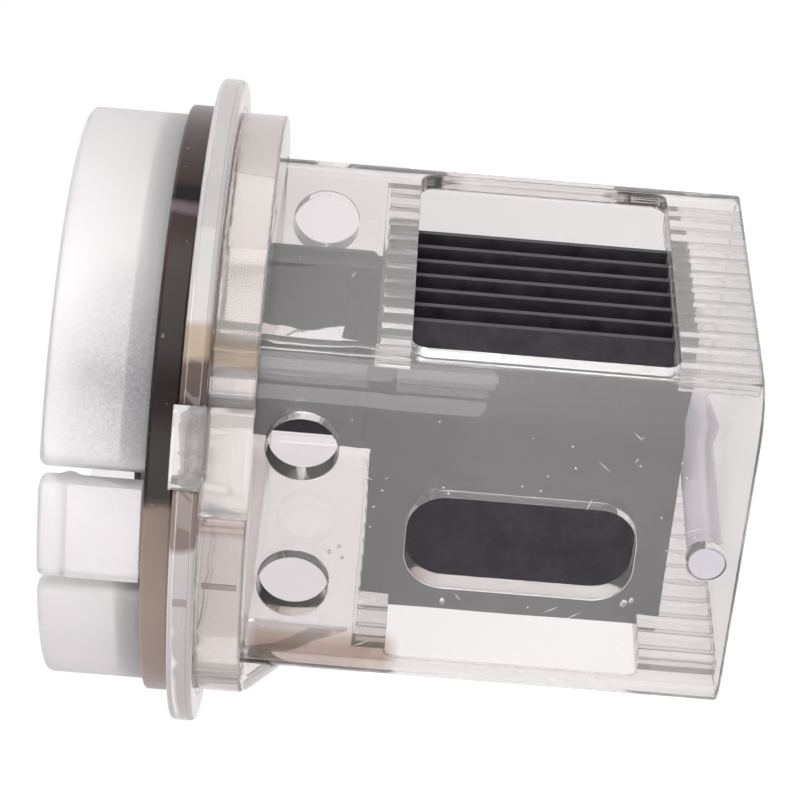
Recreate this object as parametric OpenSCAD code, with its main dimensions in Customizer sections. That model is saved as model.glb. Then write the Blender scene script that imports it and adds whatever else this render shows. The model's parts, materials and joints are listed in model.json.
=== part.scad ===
// Electrode cartridge of a salt-water chlorinator cell, millimetres.
// It stands on the open end of its cell box, head up. The origin is on the
// head's axis, level with the open end. +Z runs from the open end to the
// head; the latch tab nearest -Y is the front one.

/* [Cell box] */
// Outside width across the two window walls
box_x = 63.2; // [58:0.2:68]
// Outside width across the two slotted walls
box_y = 74.8; // [72:0.2:78]
// Length from the open end to the flange
box_len = 87.1; // [84:0.1:110]
// Outside radius of the long corners
box_r = 8.5; // [7:0.5:10]
// Thickness of the two window walls
wall_x = 3; // [2.4:0.1:3.4]
// Thickness of the two slotted walls
wall_y = 4; // [3:0.1:5]
// Inside radius of the long corners
bore_r = 4; // [2:0.5:5]

/* [Openings] */
// Window length along the cell
window_len = 42.9; // [30:0.1:44]
// Window width across the plates
window_wide = 58.2; // [40:0.1:58.4]
// Window corner radius
window_r = 2.5; // [1:0.1:5]
// Slot length along the cell
slot_len = 37.1; // [20:0.1:42]
// Slot width
slot_wide = 17.6; // [14:0.1:24]
// Slot corner radius
slot_r = 6.5; // [3:0.1:6.9]
// Slot's distance from the open end
slot_from = 17.3; // [13:0.1:20]
// Diameter of the vent ports
port_d = 11.5; // [8:0.1:12]
// Height of the vent ports above the open end
port_z = 72.1; // [70:0.1:72.8]
// Offset of the first port row from the axis
port_a = 15.7; // [12:0.1:20]
// Offset of the second port row from the axis
port_b = -11.1; // [-16:0.1:-8]

/* [Head] */
// Flange diameter
flange_d = 110; // [108:0.5:120]
// Flange thickness
flange_t = 4.1; // [3:0.1:6]
// Radius on the flange's edges
flange_e = 1; // [0.5:0.1:1.4]
// Collar diameter
collar_d = 99; // [98:0.1:101]
// Collar height
collar_h = 7.4; // [5:0.1:8]
// Smoked disc diameter
disc_d = 100.3; // [98:0.1:104]
// Smoked disc thickness
disc_t = 4.8; // [3:0.1:7]
// Connector skirt outside diameter
skirt_d = 96.9; // [94:0.1:98]
// Connector skirt height
skirt_h = 16.6; // [15:0.1:22]
// Connector skirt wall
skirt_wall = 3.2; // [2:0.1:4]
// Terminal block diameter
block_d = 48; // [47:0.5:56]
// Terminal block height
block_h = 3.8; // [3:0.1:6]

/* [Latch tabs] */
// Direction of the front tab, degrees from +X
tab_dir = -85.7; // [-100:0.1:-80]
// Tab width
tab_w = 17; // [10:0.1:20]
// Slit on the tab's +X side
slit_a = 2.8; // [1.5:0.1:3]
// Slit on the tab's -X side
slit_b = 2.2; // [1.5:0.1:3]
// Gap under the tab's root
tab_gap = 0.4; // [0.3:0.05:0.8]
// Radius on the tab's free corners
tab_r = 1.5; // [0.5:0.1:3]

/* [Electrodes] */
// Spacing of the comb slots
pitch = 4.9; // [4.6:0.1:4.9]
// Plate thickness
plate_t = 1; // [0.6:0.1:1.5]
// Plate length along the cell
plate_len = 51.6; // [48:0.1:51.6]
// Lowest edge of the plates above the open end
plate_z = 9.3; // [9:0.1:9.6]
// Terminal strap width
strap_w = 15.6; // [10:0.1:16]
// Terminal strap thickness
strap_t = 1.2; // [0.8:0.1:1.4]

/* [Rod and terminals] */
// Retaining rod diameter
rod_d = 6; // [4:0.1:6.4]
// Terminal stud diameter
stud_d = 4; // [3:0.5:4]
// Stud height above the terminal block
stud_h = 10.8; // [8:0.1:11]

/* [Hidden] */
$fn = 96;
fit_gap = 0.15;                     // clearance round a fixed insert
bond = 0.3;                         // adhesive gap beside a curved face
half_x = box_x / 2;
half_y = box_y / 2;
in_x = half_x - wall_x;             // inner face of a window wall
in_y = half_y - wall_y;             // inner face of a slotted wall
window_z = 13.1;                    // lower edge of the windows
window_top = window_z + window_len;
collar_z = box_len - collar_h;
disc_z = box_len + flange_t;
skirt_z = disc_z + disc_t;
block_top = skirt_z + block_h;
nut_top = block_top + 4;
rim_z = skirt_z + skirt_h;
skirt_r = skirt_d / 2;
comb_h = 2.7;                       // height of a comb above its wall
comb_x = in_x - comb_h;
comb_y = 27.2;                      // half width of a comb
comb_count = 11;
comb_web = 0.3;                     // wall left under the comb slots
plate_x = in_x - comb_web - fit_gap;
lug_lo = 3.6;                       // edges of a terminal lug
lug_hi = 20.2;
lug_len = 6.7;
outer_y = 3 * pitch;                // plane of the outermost plates
strap_y = outer_y + plate_t / 2 + strap_t / 2;
strap_x = 13.1;
strap_lo = plate_z + plate_len + 1.6;
strap_hi = skirt_z - 0.6;             // the straps end inside the smoked disc
key_from = -58.8;                   // key's edge directions
key_mid = -72.6;
key_to = -79.4;
key_in = collar_d / 2 - 3.1;        // inner radius of its collar step
step_in = collar_d / 2 - 0.9;       // inner radius of its flange step

// Rectangle with true arcs in its corners.
module rounded(w, h, r) {
  square([w - 2 * r, h], center = true);
  square([w, h - 2 * r], center = true);
  for (x = [-1, 1], y = [-1, 1])
    translate([x * (w / 2 - r), y * (h / 2 - r)]) circle(r);
}

// Rectangle from (x, y) with its two right-hand corners rounded.
module edge_rounded(x, y, w, h, r) {
  translate([x, y]) square([w - r, h]);
  translate([x, y + r]) square([w, h - 2 * r]);
  for (v = [r, h - r]) translate([x + w - r, y + v]) circle(r);
}

// Turned ring with rounded outer edges.
module turned(r_in, r_out, h, e) {
  rotate_extrude() edge_rounded(r_in, 0, r_out - r_in, h, e);
}

// Outline of the box grown by g, as a prism.
module box_prism(g, z, h) {
  translate([0, 0, z]) linear_extrude(h)
    rounded(box_x + 2 * g, box_y + 2 * g, box_r + g);
}

// Radial prism whose outline is drawn in (tangent, z), pointing along dir.
module radial(dir, near, far) {
  rotate([0, 0, dir]) translate([near, 0, 0]) rotate([90, 0, 90])
    linear_extrude(far - near) children();
}

// Wedge between two directions, for cutting turned shapes.
module sector(from, to, r_in, r_out, z, h) {
  rotate([0, 0, to]) translate([0, 0, z])
    rotate_extrude(angle = from - to) translate([r_in, 0]) square([r_out - r_in, h]);
}

// The strap's passage through the head.
module strap_pass(side, z, h) {
  translate([strap_x - strap_w / 2 - fit_gap, side * strap_y - strap_t / 2 - fit_gap, z])
    cube([strap_w + 2 * fit_gap, strap_t + 2 * fit_gap, h]);
}

module cell_box() {
  color([0.93, 0.92, 0.9, 0.35])
  difference() {
    box_prism(0, 0, box_len);
    translate([0, 0, -1]) linear_extrude(box_len + 2)
      rounded(2 * in_x, 2 * in_y, bore_r);
    // windows through both walls
    translate([-half_x - 1, 0, window_z + window_len / 2]) rotate([90, 0, 90])
      linear_extrude(box_x + 2) rounded(window_wide, window_len, window_r);
    // slots through both walls
    translate([0, half_y + 1, slot_from + slot_len / 2]) rotate([90, 0, 0])
      linear_extrude(box_y + 2) rounded(slot_wide, slot_len, slot_r);
    for (x = [port_a, port_b])
      translate([x, half_y + 1, port_z]) rotate([90, 0, 0])
        cylinder(d = port_d, h = box_y + 2);
    translate([0, half_y + 1, rod_z()]) rotate([90, 0, 0])
      cylinder(d = rod_d + 2 * fit_gap, h = box_y + 2);
  }
}

function rod_z() = plate_z - rod_d / 2 - 0.8;

module collar_ring() {
  color([0.92, 0.91, 0.89, 0.4])
  difference() {
    translate([0, 0, collar_z]) rotate_extrude()
      edge_rounded(0, 0, collar_d / 2, collar_h, 0.4);
    box_prism(bond, collar_z - 1, collar_h + 2);
    sector(key_from + 0.2, key_to - 0.2, key_in - 0.3, 60, collar_z - 1, collar_h + 2);
  }
}

module flange_ring() {
  color([0.92, 0.91, 0.89, 0.4])
  difference() {
    translate([0, 0, box_len]) turned(0, flange_d / 2, flange_t, flange_e);
    sector(key_from + 0.2, key_mid - 0.2, step_in - 0.3, 60, box_len - 1, flange_t + 2);
    for (s = [-1, 1]) strap_pass(s, box_len - 1, flange_t + 2);
    // Shallow relief groove round the foot of the collar, so that a seal lies flat.
    translate([0, 0, box_len - 1]) difference() {
      cylinder(r = collar_d / 2 + 1.1, h = 1.3);
      translate([0, 0, -1]) cylinder(r = collar_d / 2 + 0.6, h = 4);
    }
  }
}

module locating_key() {
  color([0.95, 0.93, 0.9, 0.4])
  union() {
    sector(key_from, key_mid, step_in, flange_d / 2 + 0.2, box_len, flange_t + 0.7);
    sector(key_from, key_to, key_in, collar_d / 2 - 0.1, collar_z, collar_h);
    sector(key_from, key_mid, step_in, collar_d / 2 - 0.1, box_len - 1, 1.5);
  }
}

module corner_gusset() {
  color([0.92, 0.91, 0.89, 0.4])
  difference() {
    rotate([0, 0, 206]) rotate_extrude(angle = 26)
      polygon([[38, 62.5], [40.2, 68.4], [49.1, 78.9], [49.1, collar_z], [38, collar_z]]);
    box_prism(bond, 50, 40);
  }
}

module seal_disc() {
  color([0.28, 0.22, 0.2, 0.85])
  difference() {
    translate([0, 0, disc_z]) turned(0, disc_d / 2, disc_t, 0.6);
    for (s = [-1, 1]) {
      strap_pass(s, disc_z - 1, strap_hi - disc_z + 1);
      translate([strap_x, s * strap_y, disc_z]) cylinder(d = stud_d + 0.3, h = disc_t + 1);
    }
    // room for the key's end above the flange
    sector(key_from + 0.4, key_mid - 0.4, step_in - 0.3, 60, disc_z - 1, 1.9);
  }
}

// Turned wall that the skirt and its tabs are cut from.
module skirt_wall_ring(z) {
  rotate_extrude() {
    translate([skirt_r - skirt_wall, z]) square([skirt_wall, rim_z - z - 0.8]);
    translate([skirt_r - skirt_wall + 0.8, z]) square([skirt_wall - 1.6, rim_z - z]);
    for (r = [skirt_r - skirt_wall + 0.8, skirt_r - 0.8])
      translate([r, rim_z - 0.8]) circle(0.8);
  }
}

// Outline of the opening round a tab, flared at the rim.
module tab_opening() {
  a = -tab_w / 2 - slit_b;
  b = tab_w / 2 + slit_a;
  translate([a, skirt_z - 1]) square([b - a, skirt_h + 3]);
  difference() {
    translate([a - tab_r, rim_z - tab_r]) square([b - a + 2 * tab_r, tab_r + 2]);
    for (x = [a - tab_r, b + tab_r]) translate([x, rim_z - tab_r]) circle(tab_r);
  }
}

module connector_skirt() {
  color([0.94, 0.94, 0.93, 0.7])
  difference() {
    union() {
      skirt_wall_ring(skirt_z);
      translate([0, 0, skirt_z]) turned(block_d / 2 + 1.5, skirt_r - 1.5, 1.2, 0.2);
      // ledge that the cable cap seats on
      translate([0, 0, skirt_z]) rotate_extrude()
        translate([skirt_r - skirt_wall - 1.2, 0]) square([2, 4.5]);
    }
    for (d = [0, 180]) radial(tab_dir + d, 43, 60) tab_opening();
    // the floor and ledge keep clear of the tabs as they flex inwards
    for (d = [0, 180])
      rotate([0, 0, tab_dir + d]) translate([40.5, -tab_w / 2 - 1.6, skirt_z + 0.9])
        cube([12, tab_w + 3.2, 8]);
  }
}

module latch_tab(dir) {
  color([0.94, 0.94, 0.93, 0.7])
  intersection() {
    difference() {
      union() {
        skirt_wall_ring(skirt_z + tab_gap);
        // snap barb inside, near the rim
        rotate_extrude()
          polygon([[skirt_r - skirt_wall + 0.5, rim_z - 7.2],
                   [skirt_r - skirt_wall - 1, rim_z - 5],
                   [skirt_r - skirt_wall - 1, rim_z - 4.2],
                   [skirt_r - skirt_wall + 0.5, rim_z - 2.6]]);
      }
      // grip groove outside
      translate([0, 0, rim_z - 4.7]) rotate_extrude()
        translate([skirt_r - 0.35, 0]) square([3, 1]);
    }
    radial(dir, 30, 60) difference() {
      translate([-tab_w / 2, skirt_z + tab_gap]) square([tab_w, skirt_h + 1]);
      for (x = [-1, 1]) difference() {
        translate([x * (tab_w / 2 - tab_r / 2 + 1), rim_z - tab_r / 2 + 1])
          square([tab_r + 2, tab_r + 2], center = true);
        translate([x * (tab_w / 2 - tab_r), rim_z - tab_r]) circle(tab_r);
      }
    }
  }
}

module terminal_block() {
  color([0.06, 0.06, 0.06])
  difference() {
    translate([0, 0, skirt_z]) turned(0, block_d / 2, block_h, 0.6);
    for (s = [-1, 1])
      translate([strap_x, s * strap_y, skirt_z - 1])
        cylinder(d = stud_d + 0.3, h = block_h + 2);
  }
}

// One slotted strip, between heights z0 and z1, its slots closed above by stop.
module comb(side, z0, z1, stop) {
  color([0.93, 0.92, 0.9, 0.45])
  difference() {
    translate([side > 0 ? comb_x : -in_x, -comb_y, z0])
      cube([comb_h, 2 * comb_y, z1 - z0]);
    for (i = [0:comb_count - 1])
      translate([side > 0 ? comb_x - 1 : -in_x + comb_web,
                 (i - (comb_count - 1) / 2) * pitch - plate_t / 2 - 0.1, z0 - 1])
        cube([comb_h + 1 - comb_web, plate_t + 0.2, z1 - z0 + 1 - stop]);
  }
}

// Electrode plate number i of 7; the outermost two carry a terminal lug.
module plate(i) {
  lug = i == 1 || i == 7;
  y = (4 - i) * pitch;
  color([0.12, 0.12, 0.14])
  translate([0, y + plate_t / 2, 0]) rotate([90, 0, 0]) linear_extrude(plate_t) {
    translate([0, plate_z + plate_len / 2]) rounded(2 * plate_x, plate_len, 1);
    if (lug) {
      translate([lug_lo, plate_z + plate_len - 2]) square([lug_hi - lug_lo, lug_len + 1]);
      translate([lug_lo + 1, plate_z + plate_len - 2])
        square([lug_hi - lug_lo - 2, lug_len + 2]);
      for (x = [lug_lo + 1, lug_hi - 1])
        translate([x, plate_z + plate_len + lug_len - 1]) circle(1);
    }
  }
}

module strap(side) {
  color([0.2, 0.2, 0.22])
  translate([strap_x, side * strap_y + strap_t / 2, (strap_lo + strap_hi) / 2])
    rotate([90, 0, 0]) linear_extrude(strap_t) rounded(strap_w, strap_hi - strap_lo, 1.2);
}

// The neck above the nut is where the thread runs out.
module stud(side) {
  neck_z = nut_top + 0.2;
  tip_z = block_top + stud_h - 0.5;
  color([0.7, 0.7, 0.68])
  translate([strap_x, side * strap_y, 0]) {
    translate([0, 0, strap_hi]) cylinder(d = stud_d, h = neck_z - strap_hi);
    translate([0, 0, neck_z - 0.1]) cylinder(d = stud_d - 0.7, h = 1);
    translate([0, 0, neck_z + 0.8]) cylinder(d = stud_d, h = tip_z - neck_z - 0.8);
    translate([0, 0, tip_z]) cylinder(d1 = stud_d, d2 = stud_d - 1, h = 0.5);
  }
}

module washer(side) {
  color([0.75, 0.74, 0.7])
  translate([strap_x, side * strap_y, block_top]) difference() {
    cylinder(d = 9, h = 0.8);
    translate([0, 0, -1]) cylinder(d = stud_d + 0.4, h = 3);
  }
}

module nut(side) {
  color([0.75, 0.74, 0.7])
  translate([strap_x, side * strap_y, block_top + 0.8]) difference() {
    intersection() {
      cylinder(d = 7 / cos(30), h = 3.2, $fn = 6);
      cylinder(d1 = 13.8, d2 = 7.4, h = 3.2);
    }
    translate([0, 0, -1]) cylinder(d = stud_d + 0.3, h = 6);
  }
}

module retaining_rod() {
  color([0.93, 0.92, 0.95, 0.5])
  translate([0, half_y - 0.1, rod_z()]) rotate([90, 0, 0])
    cylinder(d = rod_d, h = box_y - 0.2);
}

cell_box();
collar_ring();
flange_ring();
locating_key();
corner_gusset();
seal_disc();
connector_skirt();
latch_tab(tab_dir);  // latch_tab_front
latch_tab(tab_dir + 180);  // latch_tab_back
terminal_block();
comb(1, window_top, window_top + 5.7, 0.6);  // comb_head_pos
comb(-1, window_top, window_top + 5.7, 0.6);  // comb_head_neg
comb(1, 0, window_z, -2);  // comb_open_pos
comb(-1, 0, window_z, -2);  // comb_open_neg
plate(1);  // plate_1
plate(2);  // plate_2
plate(3);  // plate_3
plate(4);  // plate_4
plate(5);  // plate_5
plate(6);  // plate_6
plate(7);  // plate_7
strap(-1);  // strap_front
strap(1);  // strap_back
stud(-1);  // stud_front
stud(1);  // stud_back
washer(-1);  // washer_front
washer(1);  // washer_back
nut(-1);  // nut_front
nut(1);  // nut_back
retaining_rod();
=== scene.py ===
"""Looks for the salt chlorinator electrode cartridge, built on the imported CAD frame."""
import json
import math
import random

import bmesh
import bpy
from mathutils import Matrix, Vector


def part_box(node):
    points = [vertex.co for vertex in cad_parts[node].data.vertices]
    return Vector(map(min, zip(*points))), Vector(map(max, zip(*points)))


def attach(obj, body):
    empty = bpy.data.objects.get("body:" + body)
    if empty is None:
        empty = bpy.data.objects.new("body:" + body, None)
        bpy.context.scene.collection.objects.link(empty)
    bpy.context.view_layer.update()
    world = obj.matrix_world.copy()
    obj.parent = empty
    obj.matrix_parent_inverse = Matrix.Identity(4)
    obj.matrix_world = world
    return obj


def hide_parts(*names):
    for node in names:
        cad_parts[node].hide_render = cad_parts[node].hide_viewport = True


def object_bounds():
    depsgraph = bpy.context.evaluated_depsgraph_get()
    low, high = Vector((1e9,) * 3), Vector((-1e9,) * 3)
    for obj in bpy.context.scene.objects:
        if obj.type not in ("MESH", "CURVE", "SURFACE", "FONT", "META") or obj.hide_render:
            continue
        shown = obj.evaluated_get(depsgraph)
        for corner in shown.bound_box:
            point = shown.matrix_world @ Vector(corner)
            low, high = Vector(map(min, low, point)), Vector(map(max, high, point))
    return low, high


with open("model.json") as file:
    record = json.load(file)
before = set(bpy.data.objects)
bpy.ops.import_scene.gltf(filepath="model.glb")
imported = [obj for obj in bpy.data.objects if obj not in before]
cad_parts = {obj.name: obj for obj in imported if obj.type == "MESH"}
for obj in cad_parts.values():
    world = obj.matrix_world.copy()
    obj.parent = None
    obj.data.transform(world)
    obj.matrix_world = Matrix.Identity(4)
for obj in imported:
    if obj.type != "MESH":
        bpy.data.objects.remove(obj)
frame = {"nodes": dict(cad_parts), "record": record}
cad_low, cad_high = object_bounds()

MM = 0.001

# ---------------------------------------------------------------- painted light and shade by angle
# (degrees round the part's axis, colour) on the rims of the head's rings: painted light and
# shade, standing for what shows through and on each clear rim as seen from the camera, multiplied
# into the colour. -90 is the middle of the slotted front wall and 0 the middle of the window
# wall.
WHITE = (1, 1, 1)
# Painted shade on the collar rim beside the locating key, and a painted amber band of light and
# shade.
KEY_SIDE_PAINTED_SHADE = (0.62, 0.52, 0.48)
COLLAR_PAINTED_AMBER = (0.72, 0.58, 0.42)
COLLAR_RIM_PAINTED_SHADING = [(-84, WHITE), (-83, KEY_SIDE_PAINTED_SHADE), (-79, KEY_SIDE_PAINTED_SHADE), (-78, WHITE),
              (-52, WHITE), (-51.7, COLLAR_PAINTED_AMBER), (-46, COLLAR_PAINTED_AMBER), (-45.7, WHITE)]
# Painted light and shade round the flange rim: brown and near-black shade on the camera's side,
# an amber band, and paler light towards the window wall.
FLANGE_PAINTED_BROWN_SHADE = (0.42, 0.34, 0.31)
FLANGE_RIM_PAINTED_SHADING = [(-84, WHITE), (-83, FLANGE_PAINTED_BROWN_SHADE), (-72, FLANGE_PAINTED_BROWN_SHADE),
              (-59, (0.16, 0.11, 0.10)), (-52, (0.20, 0.14, 0.12)),
              (-51.7, (0.62, 0.49, 0.34)), (-46, (0.70, 0.56, 0.40)), (-45.7, WHITE),
              (-20, (0.93, 0.93, 0.95)), (-10, WHITE)]
# Painted light and shade round the smoked disc's rim: near black from -77 to -30 degrees, a
# painted dark gap, and painted brown and beige light elsewhere.
DISC_GAP_PAINTED_SHADE = (0.006, 0.004, 0.005)
DISC_RIM_PAINTED_SHADING = [(-180, (0.23, 0.185, 0.16)), (-100, (0.27, 0.215, 0.185)),
            (-79, (0.20, 0.15, 0.125)), (-77, (0.010, 0.005, 0.004)),
            (-43, (0.012, 0.007, 0.006)), (-30, (0.030, 0.018, 0.015)),
            (-22, (0.035, 0.022, 0.020)), (-20.5, (0.16, 0.125, 0.14)),
            (-18.5, DISC_GAP_PAINTED_SHADE), (-15, DISC_GAP_PAINTED_SHADE), (-14, (0.030, 0.018, 0.016)),
            (15, (0.09, 0.075, 0.072)), (180, (0.14, 0.11, 0.10))]

# Heights (m) of the fine machining lines round the collar and the flange.
COLLAR_LINES = (0.0801, 0.0868)
FLANGE_LINES = (0.0880, 0.0903)
LINE_COLOUR = (0.66, 0.58, 0.53)

# Amber stain of cement in the box's front corner under the head: low, high, colour.
CEMENT_STAIN = ((-0.0305, -0.042, 0.0535), (-0.0195, -0.029, 0.0800), (0.50, 0.37, 0.28))

# The heat-wrinkled patch of the box is above this height, past this X and short of this Y.
WRINKLE_Z, WRINKLE_X, WRINKLE_Y = 0.058, 0.022, -0.001

# Speckled grey painted shade on the skirt, where the dark block inside shows through: its middle
# in coordinates squashed by PATCH_SQUASH, its reach (m) and its colour.
PATCH_SQUASH = (1, 1, 1.5)
SHADE_PATCH_MIDDLE = (0.0267, -0.0404, 0.1483)
SHADE_PATCH_REACH = 0.023
PAINTED_SHADE_PATCH_COLOUR = (0.30, 0.30, 0.33)

ACRYLIC_ABSORB = ((0.72, 0.60, 0.48), 8)
ACRYLIC_IOR = 1.49

# Where scuffs are scattered on the front wall and the window wall, the share of them
# that are long scratches, and the openings that they keep clear of (mm).
SCUFF_HEIGHTS, SCUFF_ACROSS = (6, 78), (-22, 24)
SCRATCH_SHARE = 0.35
SLOT_HALF_WIDTH, SLOT_LOW, SLOT_HIGH = 9.5, 16, 56
VENTS_LOW, VENTS_HIGH, VENT_CLEARANCE = 65, 79, 7
VENT_X = (15.7, -11.1)
WINDOW_LOW, WINDOW_HIGH = 12, 57


# ---------------------------------------------------------------- camera
# 32 degrees round from the slotted front wall, level with the cell, and rolled
# over so that the cartridge lies with its head at left.
CAM_POS = Vector((0.26968, -0.42377, 0.06275))
CAM_AZIMUTH = 32.178
CAM_ELEVATION = 0.687
CAM_ROLL = 85.308
CAM_LENS, CAM_SENSOR = 131.2, 36


def add_camera():
    a, e, r = (math.radians(v) for v in (CAM_AZIMUTH, CAM_ELEVATION, CAM_ROLL))
    back = Vector((math.sin(a) * math.cos(e), -math.cos(a) * math.cos(e), math.sin(e)))
    level_up = (Vector((0, 0, 1)) - back * back.z).normalized()
    level_right = level_up.cross(back)
    up = level_up * math.cos(r) + level_right * math.sin(r)
    right = up.cross(back)
    data = bpy.data.cameras.new("camera")
    data.lens, data.sensor_width = CAM_LENS, CAM_SENSOR
    data.clip_start, data.clip_end = 0.01, 50
    cam = bpy.data.objects.new("camera", data)
    turn = Matrix((right, up, back)).transposed()
    cam.matrix_world = Matrix.Translation(CAM_POS) @ turn.to_4x4()
    bpy.context.scene.collection.objects.link(cam)
    bpy.context.scene.camera = cam


# ---------------------------------------------------------------- node helpers
def new_material(name):
    """Empty material, with its node tree, output node and object coordinates (metres)."""
    m = bpy.data.materials.new(name)
    m.use_nodes = True
    nt = m.node_tree
    nt.nodes.clear()
    out = nt.nodes.new("ShaderNodeOutputMaterial")
    return m, nt, out, node(nt, "ShaderNodeTexCoord").outputs["Object"]


def node(nt, kind, inputs=None, **props):
    """New node; each input is a socket to link or a value to set."""
    n = nt.nodes.new(kind)
    for k, v in props.items():
        setattr(n, k, v)
    for k, v in (inputs or {}).items():
        if isinstance(v, bpy.types.NodeSocket):
            nt.links.new(v, n.inputs[k])
        else:
            n.inputs[k].default_value = v
    return n


def ramp(nt, fac, stops):
    """Colour ramp; stops are (position, colour or grey level)."""
    r = nt.nodes.new("ShaderNodeValToRGB")
    e = r.color_ramp.elements
    while len(e) < len(stops):
        e.new(0.5)
    for el, (p, c) in zip(e, stops):
        el.position = p
        el.color = (*c, 1) if hasattr(c, "__len__") else (c, c, c, 1)
    nt.links.new(fac, r.inputs["Fac"])
    return r.outputs["Color"]


def noise(nt, coords, scale, detail=3, rough=0.5, distortion=0.0):
    """Noise, 0 to 1; scale is how many features there are to a metre."""
    return node(nt, "ShaderNodeTexNoise",
                {"Vector": coords, "Scale": scale, "Detail": detail,
                 "Roughness": rough, "Distortion": distortion}).outputs["Fac"]


def mapped(nt, coords, scale=(1, 1, 1), turn=(0, 0, 0)):
    return node(nt, "ShaderNodeMapping",
                {"Vector": coords, "Scale": scale, "Rotation": turn}).outputs["Vector"]


def math_node(nt, op, a, b=0.0, clamp=False):
    return node(nt, "ShaderNodeMath", {0: a, 1: b}, operation=op, use_clamp=clamp).outputs[0]


def fade(nt, a, b, steep):
    """0 where a is below b, rising by steep for each metre past it, up to 1."""
    return math_node(nt, "MULTIPLY", math_node(nt, "SUBTRACT", a, b), steep, clamp=True)


def mix_by(nt, how, a, b, fac=1.0):
    """Blend two colours, each a socket or a plain colour."""
    n = nt.nodes.new("ShaderNodeMix")
    n.data_type, n.blend_type = "RGBA", how
    for i, v in ((0, fac), (6, a), (7, b)):
        if isinstance(v, bpy.types.NodeSocket):
            nt.links.new(v, n.inputs[i])
        else:
            n.inputs[i].default_value = v if i == 0 else (*v, 1)
    return n.outputs[2]


def mix_rgb(nt, fac, a, b):
    return mix_by(nt, "MIX", a, b, fac)


def around_axis(nt, coords, stops):
    """Colour by angle round the part's axis, used for painted light and shade; stops are
    (degrees, colour).
    """
    xyz = node(nt, "ShaderNodeSeparateXYZ", {"Vector": coords})
    turn = math_node(nt, "DIVIDE",
                     math_node(nt, "ARCTAN2", xyz.outputs["Y"], xyz.outputs["X"]), 2 * math.pi)
    wobble = math_node(nt, "MULTIPLY",
                       math_node(nt, "SUBTRACT", noise(nt, coords, 90, 2), 0.5), 0.012)
    where = math_node(nt, "ADD", math_node(nt, "ADD", turn, wobble), 0.5)
    return ramp(nt, where, [(a / 360 + 0.5, c) for a, c in stops])


def bump(nt, height, strength, distance, normal=None):
    ins = {"Height": height, "Strength": strength, "Distance": distance}
    if normal is not None:
        ins["Normal"] = normal
    return node(nt, "ShaderNodeBump", ins).outputs["Normal"]


def scratches(nt, coords, scale):
    """Sparse hairline marks, 0 to 1, in two crossing directions."""
    total = None
    for turn, seed in ((0.6, 0.0), (2.1, 7.3)):
        v = mapped(nt, coords, (scale * 0.12, scale, scale), (turn, turn * 0.7, seed))
        n = noise(nt, v, 1.0, 2, 0.4)
        line = ramp(nt, n, [(0.497, 0.0), (0.5, 1.0), (0.503, 0.0)])
        mask = ramp(nt, noise(nt, coords, 45 + seed, 2), [(0.60, 0.0), (0.70, 1.0)])
        got = math_node(nt, "MULTIPLY", line, mask)
        total = got if total is None else math_node(nt, "MAXIMUM", total, got)
    return total


def principled(nt, out, inputs):
    """Give the material a Principled surface with these inputs."""
    p = node(nt, "ShaderNodeBsdfPrincipled", inputs)
    nt.links.new(p.outputs[0], out.inputs["Surface"])


# ---------------------------------------------------------------- materials
def within(nt, xyz, low, high, steep=350):
    """0 outside the box from low to high, rising to 1 over the first 3 mm inside its faces."""
    inside = None
    for k, axis in enumerate("XYZ"):
        both = math_node(nt, "MULTIPLY", fade(nt, xyz.outputs[axis], low[k], steep),
                         fade(nt, high[k], xyz.outputs[axis], steep))
        inside = both if inside is None else math_node(nt, "MULTIPLY", inside, both)
    return inside


def wrinkle(nt, co, under):
    """Heat wrinkle over the strap, near the head, added to the normal given."""
    xyz = node(nt, "ShaderNodeSeparateXYZ", {"Vector": co})
    near_head = fade(nt, xyz.outputs["Z"], WRINKLE_Z, 150)
    top = fade(nt, xyz.outputs["X"], WRINKLE_X, 200)
    front = fade(nt, WRINKLE_Y, xyz.outputs["Y"], 250)
    zone = math_node(nt, "MULTIPLY", math_node(nt, "MULTIPLY", near_head, top), front)
    warped = math_node(nt, "MULTIPLY", noise(nt, co, 85, 1, 0.3, 0.6), zone)
    return bump(nt, warped, 0.3, 0.0009, under)


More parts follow.
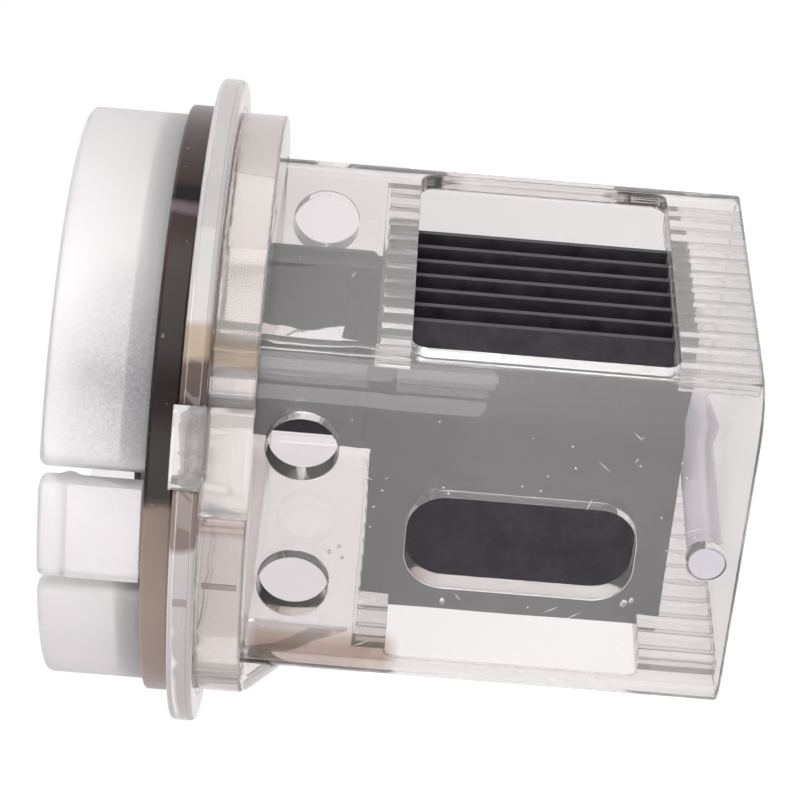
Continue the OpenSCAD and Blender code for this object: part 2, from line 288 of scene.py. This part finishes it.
def clear_plastic(name, tint=(0.99, 0.985, 0.98), clear=0.985, rough=0.015,
                  absorb=ACRYLIC_ABSORB, wave=0.0006, wrinkled=False,
                  stain=None, rim=None, lines=()):
    """Polished acrylic: refracting, rippled, with specks, haze and hairline scratches.

    clear is the share of light that goes through and absorb the (colour, density) inside.
    rim holds painted light and shade by angle, and lines the heights of fine darker lines.
    """
    m, nt, out, co = new_material(name)
    hair = scratches(nt, co, 900)
    specks = ramp(nt, noise(nt, co, 620, 2, 0.6), [(0.74, 0.0), (0.78, 1.0)])
    marks = math_node(nt, "MAXIMUM", hair, math_node(nt, "MULTIPLY", specks, 0.6))
    cloud = ramp(nt, noise(nt, co, 38, 4, 0.6), [(0.35, 0.0), (0.75, 1.0)])
    colour = mix_rgb(nt, math_node(nt, "MULTIPLY", cloud, 0.25), tint,
                     tuple(c * 0.96 for c in tint))
    # Painted light and shade by angle round the axis, multiplied into the colour.
    if rim:
        colour = mix_by(nt, "MULTIPLY", colour, around_axis(nt, co, rim))
    if lines:
        z = node(nt, "ShaderNodeSeparateXYZ", {"Vector": co}).outputs["Z"]
        for level in lines:
            gap = math_node(nt, "ABSOLUTE", math_node(nt, "SUBTRACT", z, level))
            on = math_node(nt, "SUBTRACT", 1.0, math_node(nt, "MULTIPLY", gap, 9000), clamp=True)
            colour = mix_rgb(nt, on, colour, LINE_COLOUR)
    if stain:
        low, high, tone = stain
        xyz = node(nt, "ShaderNodeSeparateXYZ", {"Vector": co})
        uneven = math_node(nt, "ADD", math_node(nt, "MULTIPLY", noise(nt, co, 70, 2), 0.6), 0.55,
                           clamp=True)
        amount = math_node(nt, "MULTIPLY", within(nt, xyz, low, high), uneven)
        colour = mix_rgb(nt, amount, colour, tone)
    wear = math_node(nt, "ADD", math_node(nt, "MULTIPLY", cloud, 0.015),
                     math_node(nt, "MULTIPLY", marks, 0.3))
    roughness = math_node(nt, "ADD", rough, wear)
    ripple = bump(nt, noise(nt, co, 26, 2, 0.4), 0.35, wave)
    if wrinkled:
        ripple = wrinkle(nt, co, ripple)
    normal = bump(nt, marks, 0.15, 0.00002, ripple)
    principled(nt, out, {"Base Color": colour, "Roughness": roughness, "IOR": ACRYLIC_IOR,
                         "Transmission Weight": clear, "Normal": normal})
    if absorb:
        va = node(nt, "ShaderNodeVolumeAbsorption",
                  {"Color": (*absorb[0], 1), "Density": absorb[1]})
        nt.links.new(va.outputs[0], out.inputs["Volume"])
    return m


def frosted_plastic(name):
    """Matt translucent plastic: sandy grain, soft cloudy areas and one speckled grey patch of
    painted shade from the dark block inside.
    """
    m, nt, out, co = new_material(name)
    grain = noise(nt, co, 2600, 3, 0.6)
    blotch = noise(nt, co, 60, 4, 0.6)
    colour = mix_rgb(nt, ramp(nt, blotch, [(0.3, 0.0), (0.8, 1.0)]),
                     (0.96, 0.955, 0.95), (0.89, 0.88, 0.875))
    # Painted shade: a speckled grey patch where the dark block inside shows through the skirt.
    away = node(nt, "ShaderNodeVectorMath", {0: mapped(nt, co, PATCH_SQUASH), 1: SHADE_PATCH_MIDDLE},
                operation="DISTANCE").outputs["Value"]
    near = math_node(nt, "SUBTRACT", 1.0, math_node(nt, "DIVIDE", away, SHADE_PATCH_REACH), clamp=True)
    speckle = ramp(nt, noise(nt, co, 1900, 3, 0.7), [(0.38, 0.0), (0.62, 1.0)])
    strength = math_node(nt, "ADD", math_node(nt, "MULTIPLY", speckle, 0.45), 0.3)
    dim = math_node(nt, "MULTIPLY", near, strength, clamp=True)
    colour = mix_rgb(nt, dim, colour, PAINTED_SHADE_PATCH_COLOUR)
    rough = math_node(nt, "ADD", 0.22, math_node(nt, "MULTIPLY", grain, 0.25))
    normal = bump(nt, grain, 0.5, 0.00008, bump(nt, blotch, 0.2, 0.0004))
    principled(nt, out, {"Base Color": colour, "Roughness": rough, "IOR": 1.45,
                         "Transmission Weight": 0.72, "Normal": normal})
    return m


def smoked_plastic(name):
    """Polished smoked disc: near black, with painted brown and beige light on part of its rim."""
    m, nt, out, co = new_material(name)
    # Painted light and shade by angle round the rim.
    painted_rim_shading = around_axis(nt, co, DISC_RIM_PAINTED_SHADING)
    specks = ramp(nt, noise(nt, co, 700, 2), [(0.70, 0.0), (0.76, 0.5)])
    colour = mix_rgb(nt, specks, painted_rim_shading, (0.30, 0.24, 0.20))
    rough = math_node(nt, "ADD", 0.16, math_node(nt, "MULTIPLY", noise(nt, co, 200, 3), 0.15))
    principled(nt, out, {"Base Color": colour, "Roughness": rough, "IOR": 1.3,
                         "Normal": bump(nt, scratches(nt, co, 700), 0.2, 0.00003)})
    return m


def dark_coating(name, edge_x):
    """Mixed-oxide coating on titanium: near black, mottled, with paler cut edges past edge_x."""
    m, nt, out, co = new_material(name)
    mottle = noise(nt, co, 220, 5, 0.65)
    grain = noise(nt, co, 3000, 2, 0.5)
    base = mix_rgb(nt, ramp(nt, mottle, [(0.3, 0.0), (0.75, 1.0)]),
                   (0.018, 0.016, 0.022), (0.052, 0.046, 0.061))
    x = node(nt, "ShaderNodeSeparateXYZ", {"Vector": co}).outputs["X"]
    cut = fade(nt, math_node(nt, "ABSOLUTE", x), edge_x, 4000)
    colour = mix_rgb(nt, cut, base, (0.052, 0.050, 0.056))
    rough = math_node(nt, "ADD", 0.38, math_node(nt, "MULTIPLY", mottle, 0.25))
    normal = bump(nt, grain, 0.2, 0.00002, bump(nt, mottle, 0.10, 0.00005))
    principled(nt, out, {"Base Color": colour, "Roughness": rough, "Metallic": 0.15,
                         "Normal": normal})
    return m


def moulded(name, dark, light, rough=0.5):
    """Opaque plastic with a fine moulded grain."""
    m, nt, out, co = new_material(name)
    cloud = noise(nt, co, 120, 4, 0.6)
    grain = noise(nt, co, 2400, 2)
    roughness = math_node(nt, "ADD", rough - 0.1, math_node(nt, "MULTIPLY", grain, 0.2))
    principled(nt, out, {"Base Color": mix_rgb(nt, cloud, dark, light),
                         "Roughness": roughness, "Normal": bump(nt, grain, 0.3, 0.00004)})
    return m


def bare_metal(name, colour, rough):
    """Turned or rolled bare metal, a little stained."""
    m, nt, out, co = new_material(name)
    turned = noise(nt, mapped(nt, co, (40, 40, 4000)), 1.0, 2)
    stain = noise(nt, co, 300, 4, 0.6)
    stained = mix_rgb(nt, stain, colour, tuple(v * 0.72 for v in colour))
    roughness = math_node(nt, "ADD", rough, math_node(nt, "MULTIPLY", turned, 0.2))
    principled(nt, out, {"Base Color": stained, "Roughness": roughness, "Metallic": 1.0,
                         "Normal": bump(nt, turned, 0.25, 0.00002)})
    return m


def build_materials():
    """The record's material slots by name, and this script's own seam, scuff and clear_flange."""
    cut_edge = 0.25 * MM
    edge_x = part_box("plate_4")[1].x - cut_edge
    return {
        "clear_box": clear_plastic("clear_box", clear=0.94, wrinkled=True, stain=CEMENT_STAIN),
        "clear_head": clear_plastic("clear_head", tint=(0.975, 0.955, 0.945), clear=0.88,
                                    rough=0.03, rim=COLLAR_RIM_PAINTED_SHADING, lines=COLLAR_LINES),
        "clear_flange": clear_plastic("clear_flange", tint=(0.945, 0.91, 0.895), clear=0.58,
                                      rough=0.05, absorb=None, rim=FLANGE_RIM_PAINTED_SHADING,
                                      lines=FLANGE_LINES),
        "clear_key": clear_plastic("clear_key", tint=(0.97, 0.955, 0.945), clear=0.86,
                                   absorb=None, wave=0.0002),
        "clear_comb": clear_plastic("clear_comb", clear=0.93, rough=0.04, absorb=None,
                                    wave=0.0002),
        "seam": moulded("seam", (0.17, 0.14, 0.135), (0.34, 0.29, 0.27)),
        "scuff": moulded("scuff", (0.62, 0.60, 0.58), (0.85, 0.84, 0.82), 0.6),
        "clear_rod": clear_plastic("clear_rod", tint=(0.95, 0.92, 0.985), clear=0.55,
                                   rough=0.05, absorb=None),
        "smoked_disc": smoked_plastic("smoked_disc"),
        "frosted": frosted_plastic("frosted"),
        "black_block": moulded("black_block", (0.012, 0.012, 0.013), (0.03, 0.03, 0.032),
                               0.45),
        "coated_titanium": dark_coating("coated_titanium", edge_x),
        "bare_titanium": bare_metal("bare_titanium", (0.55, 0.54, 0.52), 0.28),
        "stainless": bare_metal("stainless", (0.72, 0.71, 0.69), 0.22),
    }


# ---------------------------------------------------------------- pieces
SHARP_ANGLE = 38    # degrees between faces, from which an edge is shaded sharp
BEVEL_ANGLE = 35    # degrees between faces, from which an edge is rounded
WELD_DISTANCE = 2e-6    # metres


def finish_mesh(bm, name, slot, body, replaces=(), look=None):
    """Turn a bmesh into a smooth-shaded piece that moves with its body.

    slot is the record's material slot, or a material of this script's own; look is
    a material to show in place of the slot's.
    """
    bmesh.ops.recalc_face_normals(bm, faces=bm.faces)
    for f in bm.faces:
        f.smooth = True
    mesh = bpy.data.meshes.new(name)
    bm.to_mesh(mesh)
    bm.free()
    mesh.set_sharp_from_angle(angle=math.radians(SHARP_ANGLE))
    obj = bpy.data.objects.new(name, mesh)
    bpy.context.scene.collection.objects.link(obj)
    mesh.materials.append(mats[look or slot])
    wn = obj.modifiers.new("even_normals", "WEIGHTED_NORMAL")
    wn.keep_sharp = True
    if replaces:
        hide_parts(*replaces)
    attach(obj, body)


def refined(node_name, edge=0.0, grow=0.0, look=None):
    """The CAD shape again, with its edges rounded by edge mm and its skin moved out by grow mm.

    Bonded clear pieces only touch in the CAD; growing one of them a few hundredths
    of a millimetre lets them read as one block of plastic.
    """
    bm = bmesh.new()
    bm.from_mesh(frame["nodes"][node_name].data)
    bmesh.ops.remove_doubles(bm, verts=bm.verts, dist=WELD_DISTANCE)
    if grow:
        bm.normal_update()
        moves = [(v, v.normal * v.calc_shell_factor() * grow * MM) for v in bm.verts]
        for v, d in moves:
            v.co += d
    if edge:
        sharp = [e for e in bm.edges
                 if len(e.link_faces) == 2 and e.calc_face_angle(0) > math.radians(BEVEL_ANGLE)]
        bmesh.ops.bevel(bm, geom=sharp, offset=edge * MM, segments=2, profile=0.5,
                        affect="EDGES", clamp_overlap=False)
    finish_mesh(bm, node_name + "_body", slot_of[node_name], body_of[node_name],
                (node_name,), look)


def threaded_stud(node_name, pitch=0.7, minor=1.58, steps=8, around=36):
    """Stud with a real helical thread, a run-out neck and a chamfered tip, in mm.

    steps is the rings of vertices per turn of the thread.
    """
    neck_gap, neck_length, neck_cut, chamfer = 0.2, 0.8, 0.35, 0.5
    flank = 1.35    # over 1, so that the crests are flat
    low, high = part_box(node_name)
    cx, cy = (low.x + high.x) / 2, (low.y + high.y) / 2
    major, z0, z1 = (high.x - low.x) / 2 / MM, low.z / MM, high.z / MM
    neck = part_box(node_name.replace("stud", "nut"))[1].z / MM + neck_gap
    bm = bmesh.new()
    rings = []
    count = int((z1 - z0) / pitch * steps)
    for i in range(count + 1):
        z = z0 + (z1 - z0) * i / count
        ring = []
        for k in range(around):
            t = 2 * math.pi * k / around
            phase = (z / pitch - k / around) % 1.0
            r = minor + (major - minor) * min(1.0, flank * (1 - abs(2 * phase - 1)))
            if neck < z < neck + neck_length:
                r = major - neck_cut
            r = min(r, major - max(0.0, z - (z1 - chamfer)))
            x, y = cx + r * MM * math.cos(t), cy + r * MM * math.sin(t)
            ring.append(bm.verts.new((x, y, z * MM)))
        rings.append(ring)
    for a, b in zip(rings, rings[1:]):
        for k in range(around):
            j = (k + 1) % around
            bm.faces.new((a[k], a[j], b[j], b[k]))
    bm.faces.new(rings[0][::-1])
    bm.faces.new(rings[-1])
    finish_mesh(bm, node_name + "_threaded", slot_of[node_name], "housing", (node_name,))


def blob(bm, centre, axis, radii, lumpy, seed, rings=5, around=14):
    """Closed lens-shaped lump round centre; the third of its radii (mm) is along axis."""
    rnd = random.Random(seed)
    turn = Vector(axis).to_track_quat("Z", "Y").to_matrix()
    rows = []
    for i in range(1, rings):
        lat = math.pi * i / rings
        row = []
        for k in range(around):
            lon = 2 * math.pi * k / around
            w = 1 + lumpy * (rnd.random() - 0.5)
            v = Vector((radii[0] * math.sin(lat) * math.cos(lon) * w,
                        radii[1] * math.sin(lat) * math.sin(lon) * w,
                        radii[2] * math.cos(lat)))
            row.append(bm.verts.new(Vector(centre) + turn @ v * MM))
        rows.append(row)
    top = bm.verts.new(Vector(centre) + turn @ Vector((0, 0, radii[2])) * MM)
    low = bm.verts.new(Vector(centre) - turn @ Vector((0, 0, radii[2])) * MM)
    for k in range(around):
        j = (k + 1) % around
        bm.faces.new((top, rows[0][k], rows[0][j]))
        bm.faces.new((low, rows[-1][j], rows[-1][k]))
        for a, b in zip(rows, rows[1:]):
            bm.faces.new((a[k], b[k], b[j], a[j]))


def weld_spots(strap):
    """Two shallow spot-weld nuggets where the strap lies on the plate's lug."""
    low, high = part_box(strap)
    out = -1 if low.y < 0 else 1
    y = low.y if out < 0 else high.y
    z = low.z + 2.7 * MM
    nugget = (1.3, 1.2, 0.22)
    bm = bmesh.new()
    for i, share in enumerate((0.3, 0.72)):
        x = low.x + (high.x - low.x) * share
        blob(bm, (x, y, z), (0, out, 0), nugget, lumpy=0.12, seed=3 + i)
    finish_mesh(bm, strap.replace("strap", "weld_spots"), slot_of[strap], "housing")


def cement_drops():
    """Dried solvent-cement droplets on the front wall, beside the slot and by a vent port."""
    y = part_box("cell_box")[0].y - 0.02 * MM
    bm = bmesh.new()
    # x, z and the two radii on the wall, in mm
    drops = ((-11.4, 47.5, 0.75, 0.5), (-8.9, 18.0, 0.9, 0.6), (-8.2, 16.8, 0.6, 0.42),
             (-3.5, 66.5, 0.45, 0.35), (-2.2, 65.0, 0.35, 0.3), (-4.4, 64.4, 0.4, 0.3))
    for i, (x, z, a, b) in enumerate(drops):
        blob(bm, (x * MM, y, z * MM), (0, -1, 0), (a, b, 0.22), lumpy=0.25, seed=20 + i)
    finish_mesh(bm, "cement_drops", "clear_key", "housing")


def bond_seams():
    """Dark ends of the cement line where the key meets the flange and the collar."""
    flange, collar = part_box("flange_ring"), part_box("collar_ring")
    sunk, proud, margin = 0.3, 0.03, 0.9 * MM
    bm = bmesh.new()
    for (low, high), a0, a1 in ((flange, -94.2, -92.6), (collar, -94.9, -93.6)):
        r = high.x / MM
        rows = []
        for a in (a0, (a0 + a1) / 2, a1):
            t = math.radians(a)
            rows.append([bm.verts.new((rr * math.cos(t) * MM, rr * math.sin(t) * MM, z))
                         for rr in (r - sunk, r + proud)
                         for z in (low.z + margin, high.z - margin)])
        for p, q in zip(rows, rows[1:]):
            for i, j in ((0, 1), (1, 3), (3, 2), (2, 0)):
                bm.faces.new((p[i], p[j], q[j], q[i]))
        for end in (rows[0], rows[-1]):
            bm.faces.new((end[0], end[1], end[3], end[2]))
    finish_mesh(bm, "bond_seams", "seam", "housing")


def sliver(bm, centre, along, across, out, length, width):
    """Closed four-sided spindle lying in the wall, in mm."""
    height = 0.03
    tips = [centre + along * length / 2, centre - along * length / 2]
    mid = [centre + across * width, centre + out * height, centre - across * width,
           centre - out * height]
    a, b = (bm.verts.new(t * MM) for t in tips)
    ring = [bm.verts.new(m * MM) for m in mid]
    for k in range(4):
        j = (k + 1) % 4
        bm.faces.new((a, ring[k], ring[j]))
        bm.faces.new((b, ring[j], ring[k]))


def wall_scuffs():
    """Fine white scratches and specks on the outer skin of the clear box."""
    low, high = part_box("cell_box")
    rnd = random.Random(41)
    bm = bmesh.new()
    for wall, tries in (("front", 90), ("window", 40)):
        for _ in range(tries):
            z = rnd.uniform(*SCUFF_HEIGHTS)
            s = rnd.uniform(*SCUFF_ACROSS)
            if wall == "front":
                in_slot = abs(s) < SLOT_HALF_WIDTH and SLOT_LOW < z < SLOT_HIGH
                by_vent = VENTS_LOW < z < VENTS_HIGH and any(abs(s - x) < VENT_CLEARANCE
                                                             for x in VENT_X)
                if in_slot or by_vent:
                    continue
                centre = Vector((s, low.y / MM, z))
                side, out = Vector((1, 0, 0)), Vector((0, -1, 0))
            else:
                if WINDOW_LOW < z < WINDOW_HIGH:
                    continue
                centre = Vector((high.x / MM, s, z))
                side, out = Vector((0, 1, 0)), Vector((1, 0, 0))
            up = Vector((0, 0, 1))
            t = rnd.uniform(0, math.pi)
            along = side * math.cos(t) + up * math.sin(t)
            across = up * math.cos(t) - side * math.sin(t)
            if rnd.random() < SCRATCH_SHARE:
                length, width = rnd.uniform(1.0, 3.4), 0.06
            else:
                length, width = rnd.uniform(0.2, 0.5), 0.15
            sliver(bm, centre, along, across, out, length, width)
    finish_mesh(bm, "wall_scuffs", "scuff", "housing")


# ---------------------------------------------------------------- studio
def add_area(name, place, size, power):
    """Square white area light, size metres across, facing the middle of the part."""
    data = bpy.data.lights.new(name, "AREA")
    data.shape, data.size, data.energy = "SQUARE", size, power
    o = bpy.data.objects.new(name, data)
    o.location = place
    centre = (cad_low + cad_high) / 2
    o.rotation_mode = "QUATERNION"
    o.rotation_quaternion = (Vector(place) - centre).to_track_quat("Z", "Y")
    bpy.context.scene.collection.objects.link(o)


def add_world():
    """Soft pale surroundings, brightest over the window side; plain white to the camera."""
    w = bpy.data.worlds.new("studio")
    w.use_nodes = True
    nt = w.node_tree
    nt.nodes.clear()
    out = nt.nodes.new("ShaderNodeOutputWorld")
    way = node(nt, "ShaderNodeTexCoord").outputs["Generated"]
    lit = node(nt, "ShaderNodeVectorMath", {0: way, 1: (0.85, -0.1, 0.5)},
               operation="DOT_PRODUCT").outputs["Value"]
    f = math_node(nt, "ADD", math_node(nt, "MULTIPLY", lit, 0.5), 0.5)
    soft = ramp(nt, f, [(0.0, (0.77, 0.70, 0.735)), (0.45, (0.88, 0.82, 0.85)),
                        (1.0, WHITE)])
    seen = node(nt, "ShaderNodeLightPath").outputs["Is Camera Ray"]
    colour = mix_rgb(nt, seen, soft, WHITE)
    bg = node(nt, "ShaderNodeBackground", {"Color": colour, "Strength": 1.0})
    nt.links.new(bg.outputs[0], out.inputs["Surface"])
    bpy.context.scene.world = w


def add_floor():
    """Plain pale floor with a glow of its own, so that it reads white like the surroundings."""
    mesh = bpy.data.meshes.new("floor")
    half, drop = 6.0, 0.2 * MM
    mesh.from_pydata([(-half, -half, 0), (half, -half, 0), (half, half, 0), (-half, half, 0)],
                     [], [(0, 1, 2, 3)])
    o = bpy.data.objects.new("floor", mesh)
    bpy.context.scene.collection.objects.link(o)
    o.location.z = -drop
    m, nt, out, co = new_material("floor")
    colour = mix_rgb(nt, noise(nt, co, 30, 3), (0.36, 0.355, 0.355), (0.40, 0.395, 0.395))
    paint = node(nt, "ShaderNodeBsdfDiffuse", {"Color": colour})
    seen = node(nt, "ShaderNodeLightPath").outputs["Is Camera Ray"]
    power = math_node(nt, "ADD", 0.55, math_node(nt, "MULTIPLY", seen, 0.40))
    glow = node(nt, "ShaderNodeEmission", {"Color": (1, 0.97, 0.975, 1), "Strength": power})
    add = nt.nodes.new("ShaderNodeAddShader")
    nt.links.new(paint.outputs[0], add.inputs[0])
    nt.links.new(glow.outputs[0], add.inputs[1])
    nt.links.new(add.outputs[0], out.inputs["Surface"])
    mesh.materials.append(m)


# ---------------------------------------------------------------- build
mats = build_materials()
slot_of = {s["node"]: s["material_slot"] for s in frame["record"]["subparts"]}
body_of = {n: "housing" for n in slot_of}
body_of.update(latch_tab_front="front_latch", latch_tab_back="back_latch")
for name, obj in frame["nodes"].items():
    obj.data.materials.clear()
    obj.data.materials.append(mats[slot_of[name]])

refined("cell_box", edge=0.22)
for comb in ("comb_head_pos", "comb_head_neg", "comb_open_pos", "comb_open_neg"):
    refined(comb, edge=0.12, grow=0.03)
refined("collar_ring", grow=0.02)
refined("flange_ring", look="clear_flange")
refined("locating_key")
refined("corner_gusset", edge=0.2, grow=0.02)
for plain in ("connector_skirt", "latch_tab_front", "latch_tab_back"):
    refined(plain)
for i in range(1, 8):
    refined(f"plate_{i}", edge=0.1)
refined("terminal_block")
for kind, edge in (("strap", 0.15), ("washer", 0.12), ("nut", 0.3)):
    for side in ("front", "back"):
        refined(f"{kind}_{side}", edge=edge)
refined("retaining_rod", edge=0.2)
for side in ("front", "back"):
    threaded_stud("stud_" + side)
    weld_spots("strap_" + side)
cement_drops()
bond_seams()
wall_scuffs()

add_floor()
add_world()
add_area("key_light", (0.9, -0.35, 0.35), 0.9, 6.5)
add_area("front_light", (0.1, -1.1, 0.25), 0.7, 4)
add_camera()
bpy.context.scene.view_settings.view_transform = "Standard"
bpy.context.scene.cycles.max_bounces = 32
bpy.context.scene.cycles.transmission_bounces = 32
